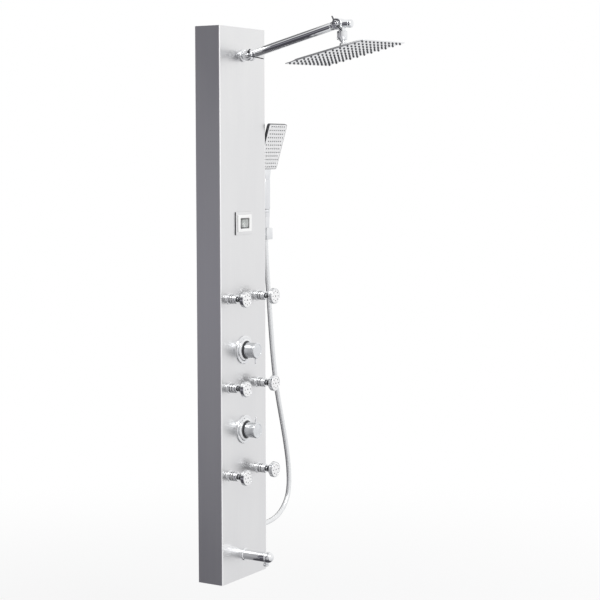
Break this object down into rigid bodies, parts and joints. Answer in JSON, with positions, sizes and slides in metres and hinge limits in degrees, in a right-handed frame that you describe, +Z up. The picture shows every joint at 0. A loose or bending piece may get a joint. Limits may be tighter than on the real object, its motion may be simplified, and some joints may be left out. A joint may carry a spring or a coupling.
{
  "type": "shower panel column",
  "caption": "Wall-hung shower panel column with tilting rain head on a hinged arm, body jets, display, two knobs, tub spout and hand shower on a hose.",
  "frame": {"origin": "midway between the two screw holes of the upper wall bracket, on the wall plane", "axes": "+X to the right seen from the front, +Y into the wall, +Z up"},
  "size_m": [0.4001, 0.512, 1.5175],
  "materials": {
    "panel_steel": "brushed stainless sheet, horizontal grain",
    "bracket_steel": "galvanised steel",
    "chrome": "polished chrome plate on brass",
    "ball_steel": "polished stainless steel",
    "head_shell": "chromed plastic shell",
    "head_steel": "polished stainless plate",
    "nozzle_rubber": "grey silicone",
    "bezel_plastic": "silver white plastic",
    "lens": "clear window",
    "screen_plastic": "blank liquid crystal screen",
    "housing_plastic": "moulded white plastic",
    "battery_steel": "coin cell",
    "cable_rubber": "rubber sheath",
    "brass": "bare brass",
    "ball_plastic": "moulded dark plastic",
    "aerator_plastic": "moulded plastic insert",
    "screw_steel": "zinc plated steel",
    "handset_plastic": "chromed plastic",
    "face_plastic": "light grey plastic",
    "hose_plastic": "smooth silver hose",
    "pipe_plastic": "white water pipe"
  },
  "bodies": {
    "panel": {"front_panel": "panel_steel", "hanger_rails": "bracket_steel", "wall_brackets": "bracket_steel", "arm_flange": "chrome", "base_knuckle": "chrome", "display_bezel": "bezel_plastic", "display_lens": "lens", "display_screen": "screen_plastic", "display_housing": "housing_plastic", "display_battery": "battery_steel", "probe_cable": "cable_rubber", "knob_flanges": "chrome", "diverter_valve": "brass", "mixer_valve": "brass", "jet_sockets": "chrome", "jet_backnuts": "brass", "spout": "chrome", "spout_aerator": "aerator_plastic", "holder": "chrome", "holder_screws": "screw_steel", "hose": "hose_plastic", "hose_nut_bottom": "chrome", "hose_outlet": "chrome", "backnuts": "brass", "inlet_nipples": "brass", "riser_pipe": "pipe_plastic", "jet_manifold": "pipe_plastic", "outlet_pipes": "pipe_plastic"},
    "arm": {"arm_yokes": "chrome", "arm_tube": "chrome"},
    "base_lever": {"base_lever": "chrome"},
    "elbow": {"end_elbow": "chrome", "swivel_nut": "chrome"},
    "end_lever": {"end_lever": "chrome"},
    "swivel": {"swivel_ball": "ball_steel"},
    "rain_head": {"head_collar": "chrome", "rain_top_plate": "head_shell", "rain_face_plate": "head_steel", "rain_nozzles": "nozzle_rubber"},
    "diverter": {"diverter_knob": "chrome", "diverter_spindle": "brass"},
    "mixer": {"mixer_knob": "chrome", "mixer_spindle": "brass"},
    "handset": {"handset_body": "handset_plastic", "handset_face": "face_plastic", "handset_nozzles": "nozzle_rubber", "hose_nut_top": "chrome"},
    "jet_core_1": {"jet_ball_1": "ball_plastic"},
    "jet_1": {"jet_head_1": "chrome"},
    "jet_core_2": {"jet_ball_2": "ball_plastic"},
    "jet_2": {"jet_head_2": "chrome"},
    "jet_core_3": {"jet_ball_3": "ball_plastic"},
    "jet_3": {"jet_head_3": "chrome"},
    "jet_core_4": {"jet_ball_4": "ball_plastic"},
    "jet_4": {"jet_head_4": "chrome"},
    "jet_core_5": {"jet_ball_5": "ball_plastic"},
    "jet_5": {"jet_head_5": "chrome"},
    "jet_core_6": {"jet_ball_6": "ball_plastic"},
    "jet_6": {"jet_head_6": "chrome"}
  },
  "joints": [
    {"name": "arm_lift", "type": "hinge", "parent": "panel", "child": "arm", "pos_m": [0, -0.1, 0.096], "axis": [1, 0, 0], "range_deg": [-30, 30]},
    {"name": "base_lever_turn", "type": "hinge", "parent": "panel", "child": "base_lever", "pos_m": [0, -0.1, 0.096], "axis": [1, 0, 0], "range_deg": [0, 70]},
    {"name": "elbow_tilt", "type": "hinge", "parent": "arm", "child": "elbow", "pos_m": [0, -0.37605, 0.16688], "axis": [1, 0, 0], "range_deg": [-45, 5]},
    {"name": "end_lever_turn", "type": "hinge", "parent": "elbow", "child": "end_lever", "pos_m": [0, -0.37605, 0.16688], "axis": [1, 0, 0], "range_deg": [0, 90]},
    {"name": "ball_tilt", "type": "hinge", "parent": "elbow", "child": "swivel", "pos_m": [0, -0.38605, 0.13038], "axis": [1, 0, 0], "range_deg": [-7.5, 12.5]},
    {"name": "head_turn", "type": "hinge", "parent": "swivel", "child": "rain_head", "pos_m": [0, -0.38605, 0.13038], "axis": [-0.0239, 0.2164, 0.976], "continuous": true},
    {"name": "diverter_turn", "type": "hinge", "parent": "panel", "child": "diverter", "pos_m": [0, -0.078, -0.698], "axis": [0, -1, 0], "range_deg": [0, 270]},
    {"name": "mixer_turn", "type": "hinge", "parent": "panel", "child": "mixer", "pos_m": [0, -0.078, -0.917], "axis": [0, -1, 0], "range_deg": [-90, 90]},
    {"name": "jet_1_pan", "type": "hinge", "parent": "panel", "child": "jet_core_1", "pos_m": [-0.07, -0.099, -1.035], "axis": [0, 0, 1], "range_deg": [-12, 12]},
    {"name": "jet_1_tilt", "type": "hinge", "parent": "jet_core_1", "child": "jet_1", "pos_m": [-0.07, -0.099, -1.035], "axis": [1, 0, 0], "range_deg": [-12, 12]},
    {"name": "jet_2_pan", "type": "hinge", "parent": "panel", "child": "jet_core_2", "pos_m": [0.07, -0.099, -1.035], "axis": [0, 0, 1], "range_deg": [-12, 12]},
    {"name": "jet_2_tilt", "type": "hinge", "parent": "jet_core_2", "child": "jet_2", "pos_m": [0.07, -0.099, -1.035], "axis": [1, 0, 0], "range_deg": [-12, 12]},
    {"name": "jet_3_pan", "type": "hinge", "parent": "panel", "child": "jet_core_3", "pos_m": [-0.07, -0.099, -0.7945], "axis": [0, 0, 1], "range_deg": [-12, 12]},
    {"name": "jet_3_tilt", "type": "hinge", "parent": "jet_core_3", "child": "jet_3", "pos_m": [-0.07, -0.099, -0.7945], "axis": [1, 0, 0], "range_deg": [-12, 12]},
    {"name": "jet_4_pan", "type": "hinge", "parent": "panel", "child": "jet_core_4", "pos_m": [0.07, -0.099, -0.7945], "axis": [0, 0, 1], "range_deg": [-12, 12]},
    {"name": "jet_4_tilt", "type": "hinge", "parent": "jet_core_4", "child": "jet_4", "pos_m": [0.07, -0.099, -0.7945], "axis": [1, 0, 0], "range_deg": [-12, 12]},
    {"name": "jet_5_pan", "type": "hinge", "parent": "panel", "child": "jet_core_5", "pos_m": [-0.07, -0.099, -0.554], "axis": [0, 0, 1], "range_deg": [-12, 12]},
    {"name": "jet_5_tilt", "type": "hinge", "parent": "jet_core_5", "child": "jet_5", "pos_m": [-0.07, -0.099, -0.554], "axis": [1, 0, 0], "range_deg": [-12, 12]},
    {"name": "jet_6_pan", "type": "hinge", "parent": "panel", "child": "jet_core_6", "pos_m": [0.07, -0.099, -0.554], "axis": [0, 0, 1], "range_deg": [-12, 12]},
    {"name": "jet_6_tilt", "type": "hinge", "parent": "jet_core_6", "child": "jet_6", "pos_m": [0.07, -0.099, -0.554], "axis": [1, 0, 0], "range_deg": [-12, 12]},
    {"name": "handset_lift", "type": "slide", "parent": "panel", "child": "handset", "axis": [0, 0, 1], "range_m": [0, 0.045], "deforming": ["hose"]}
  ]
}
